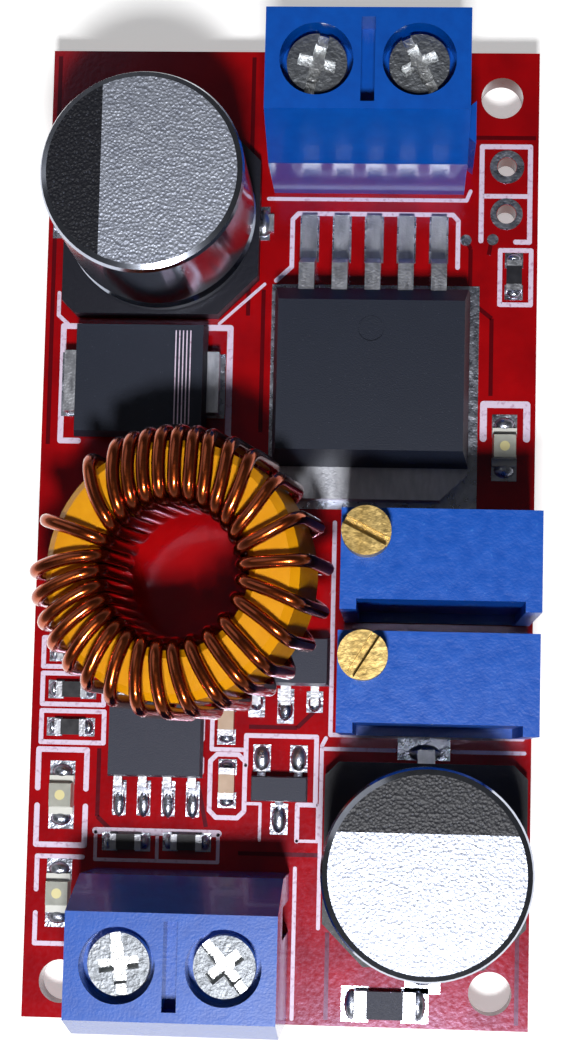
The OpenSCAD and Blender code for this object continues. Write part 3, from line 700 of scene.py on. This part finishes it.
def pads(work):
    """Tinned copper under every lead and metal end."""
    for x, y, turn in chips():
        for side in (-0.85, 0.85):
            where = (x + side, y) if turn == 0 else (x, y + side)
            pad(work, where, 0.8 if turn == 0 else 0.95, 0.95 if turn == 0 else 0.8)
    for x, y in LAMPS:
        for side in (-1.15, 1.15):
            pad(work, (x, y + side), 1.3, 1.2)
    for step in range(-2, 3):
        x = REGULATOR_X + step * REGULATOR_PITCH
        pad(work, (x, 15.35), 1.0, 2.5)
    pad(work, (4.5, 6.95), 10.9, 11.9)
    for step in AMPLIFIER_STEPS:
        x = AMPLIFIER_X + step * AMPLIFIER_PITCH
        pad(work, (x, -14.2), 0.7, 1.8)
        pad(work, (x, -8.1), 0.7, 1.8)
    for x, low, high in ((-1.22, -9.9, -8.6), (0.28, -10.2, -8.4), (1.78, -9.6, -8.5)):
        pad(work, (x, (low + high) / 2), 0.85, high - low)
    pad(work, (0.28, -5.2), 2.0, 1.4)
    for x, low, high in ((-0.88, -12.7, -11.3), (1.02, -12.7, -11.3), (0.07, -15.9, -14.3)):
        pad(work, (x, (low + high) / 2), 0.9, high - low)
    for x in (4.15, 7.2):
        pad(work, (x, -24.35), 1.4, 1.8)
    for x in (-11.3, -3.95):
        pad(work, (x, 7.4), 1.3, 3.4)
    pad(work, (-11.9, 16.15), 1.6, 1.8)
    pad(work, (-1.75, 16.15), 1.2, 1.8)
    pad(work, (7.45, -11.3), 2.7, 1.25)
    pad(work, (7.58, -23.0), 1.8, 1.5)


def heaps(work):
    """Solder drawn up against leads and metal ends."""
    for x, y, turn in chips():
        for side in (-0.95, 0.95):
            if turn == 0:
                mound(work, (x + side, y), (0.5, 0.8, 0.3))
            else:
                mound(work, (x, y + side), (0.8, 0.5, 0.34))
    for x, y in LAMPS:
        for side in (-1.2, 1.2):
            mound(work, (x, y + side), (1.1, 0.8, 0.38))
    for step in range(-2, 3):
        mound(work, (REGULATOR_X + step * REGULATOR_PITCH, 16.3), (0.9, 0.75, 0.35))
    for step in AMPLIFIER_STEPS:
        x = AMPLIFIER_X + step * AMPLIFIER_PITCH
        mound(work, (x, -14.45), (0.66, 1.5, 0.3))
        mound(work, (x, -7.9), (0.66, 1.4, 0.3))
    mound(work, (0.28, -9.5), (0.8, 1.2, 0.42))
    for x in (-1.22, 1.78):
        mound(work, (x, -9.15), (0.7, 0.9, 0.4))
    mound(work, (0.07, -15.1), (0.8, 1.5, 0.34))
    for x in (-0.88, 1.02):
        mound(work, (x, -12.0), (0.85, 1.4, 0.34))
    for x in (4.0, 7.36):
        mound(work, (x, -24.35), (0.8, 1.6, 0.4))
    for x in (-12.0, -1.45):
        mound(work, (x, 16.15), (0.9, 1.5, 0.4))
    mound(work, (7.5, -11.55), (1.7, 0.9, 0.3))
    mound(work, (7.58, -22.9), (1.4, 0.9, 0.35))


def ring(work, centre, inner, outer, base, height):
    """A flat washer of plated copper."""
    made = bmesh.ops.create_circle(work, cap_ends=False, segments=32, radius=inner * MM,
                                   matrix=Matrix.Translation((centre[0] * MM, centre[1] * MM,
                                                              base)))
    edges = list({edge for v in made["verts"] for edge in v.link_edges})
    grown = bmesh.ops.extrude_edge_only(work, edges=edges)
    rim = [v for v in grown["geom"] if isinstance(v, bmesh.types.BMVert)]
    middle = Vector((centre[0] * MM, centre[1] * MM, base))
    for v in rim:
        v.co = middle + (v.co - middle) * (outer / inner)
    faces = list({face for v in rim for face in v.link_faces})
    raised = bmesh.ops.extrude_face_region(work, geom=faces)
    for v in raised["geom"]:
        if isinstance(v, bmesh.types.BMVert):
            v.co.z += height


def rings(work):
    """Plated rims of the header holes on both faces, and the vias near them."""
    for hole, outer in zip(HEADER_HOLES, (0.85, 0.9)):
        ring(work, hole, 0.52, outer, BOARD_TOP, PAD)
    for x, y in ((9.19, 15.37), (10.6, 15.42)):
        dot(work, (x, y), 0.3, BOARD_TOP, INK * 0.6)
    for hole in HEADER_HOLES:
        ring(work, hole, 0.52, 0.85, BOARD_UNDER - PAD, PAD)


def cathode_lines(work):
    """Fine printed bars on the diode, at its cathode end."""
    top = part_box("diode_body")[1].z
    for step in range(5):
        x = -5.72 + step * 0.19
        bar(work, (x, 5.0), (x, 9.9), 0.06, top, INK * 0.5)


def lamp_chips(work):
    """The small round chip inside each lamp."""
    for x, y in LAMPS:
        dot(work, (x, y), 0.26, BOARD_TOP + 0.62 * MM, 0.19 * MM, 24)


# ---- light, floor and camera ----

def light(name, place, aim, size, power):
    lamp = bpy.data.lights.new(name, "AREA")
    lamp.shape = "RECTANGLE"
    lamp.size, lamp.size_y = size[0] * MM, size[1] * MM
    lamp.energy = power
    holder = bpy.data.objects.new(name, lamp)
    bpy.context.collection.objects.link(holder)
    holder.location = Vector(place) * MM
    holder.rotation_euler = (Vector(aim) - Vector(place)).to_track_quat("-Z", "Y").to_euler()


class Room(Finish):
    """The world's nodes, with the same ways of adding nodes as a finish."""

    def __init__(self):
        world = bpy.data.worlds.new("room")
        bpy.context.scene.world = world
        world.use_nodes = True
        self.tree = world.node_tree
        self.surface = self.tree.nodes["Background"]


def room():
    """A dim room with a dark ceiling and a pale wall all round, white to the camera."""
    walls = Room()
    place = walls.node("ShaderNodeTexCoord", {}).out("Generated")
    height = walls.node("ShaderNodeSeparateXYZ", {}, place).out("Z")
    wall = walls.step(height, 0.55, 0.15)
    ray = walls.node("ShaderNodeLightPath", {})
    mirrored = ray.out("Is Glossy Ray").larger(ray.out("Is Transmission Ray"))
    walls.set("Color", (1, 1, 1, 1))
    dim = AMBIENT + wall * mirrored * WALL
    walls.set("Strength", dim.larger(ray.out("Is Camera Ray")))


def studio():
    light("key", (7.5, -64, 148), (0, -2, 3), (18, 18), 0.275)
    light("fill", (-120, 90, 180), (0, 0, 0), (140, 140), 0.025)
    room()


def floor():
    work = bmesh.new()
    bmesh.ops.create_grid(work, x_segments=1, y_segments=1, size=3)
    mesh = bpy.data.meshes.new("floor")
    work.to_mesh(mesh)
    work.free()
    mesh.materials.append(floor_paper())
    made = bpy.data.objects.new("floor", mesh)
    bpy.context.collection.objects.link(made)


def camera():
    lens = bpy.data.cameras.new("camera")
    lens.lens = 72.18
    lens.sensor_width = 36
    lens.shift_x = 0.0014
    lens.shift_y = 0.021
    lens.clip_start = 0.005
    holder = bpy.data.objects.new("camera", lens)
    bpy.context.collection.objects.link(holder)
    holder.location = Vector((6.063, -11.985, 113.179)) * MM
    holder.rotation_euler = [math.radians(turn) for turn in (5.591, 3.044, 1.361)]
    bpy.context.scene.camera = holder


# ---- the whole ----

def dress_the_frame():
    dress(board_mask(), "circuit_board")
    dress(terminal_blue(), "input_terminal_housing", "output_terminal_housing")
    dress(screw_steel(), *matching("_terminal_screw"))
    dress(clamp_steel(), *matching("_clamp_cage"))
    dress(can_aluminium("input_can", "input_capacitor_can", 1, 0, -1, 2.0),
          "input_capacitor_can")
    dress(can_aluminium("output_can", "output_capacitor_can", 0, 1, 1, 1.9),
          "output_capacitor_can")
    dress(black_base(), "input_capacitor_base", "output_capacitor_base")
    dress(black_epoxy("power_epoxy", (22, 28, 43), 1.0), "regulator_body", "diode_body")
    dress(black_epoxy("small_epoxy", (42, 45, 60), 0.5), "amplifier_body",
          "small_regulator_body", "reference_body", "shunt_resistor_body")
    dress(core_paint(), "inductor_core")
    dress(trimmer_blue(), "voltage_trimmer_housing", "current_trimmer_housing")
    dress(screw_brass(), "voltage_trimmer_screw", "current_trimmer_screw")
    dress(chip_ceramic("resistor_glaze", (26, 26, 32)), "chip_resistor_bodies")
    dress(chip_ceramic("capacitor_ceramic", (176, 150, 128)), "chip_capacitor_bodies")
    dress(lamp_lens(), "lamp_lenses")
    dress(lamp_base(), "lamp_bases")
    dress(tinned_metal("tinned_metal", 0.24), "terminal_contact_pins", "trimmer_pins",
          *matching("_leads"), *matching("_ends"))
    dress(tinned_metal("tab_metal", 0.4), "regulator_tab")


def main():
    bpy.context.scene.view_settings.view_transform = "Standard"
    camera()
    studio()
    floor()
    dress_the_frame()
    tin = solder()
    dress(tin, "underside_solder_joints")
    wound_wire(enamelled_copper())
    piece("board_print", board_lines, board_print())
    piece("copper_seams", seams, mask_gap())
    piece("tinned_pads", pads, tin)
    piece("solder_heaps", heaps, tin, smooth=True)
    piece("plated_rings", rings, tin)
    piece("cathode_lines", cathode_lines, board_print())
    piece("lamp_chips", lamp_chips, lamp_chip())


main()
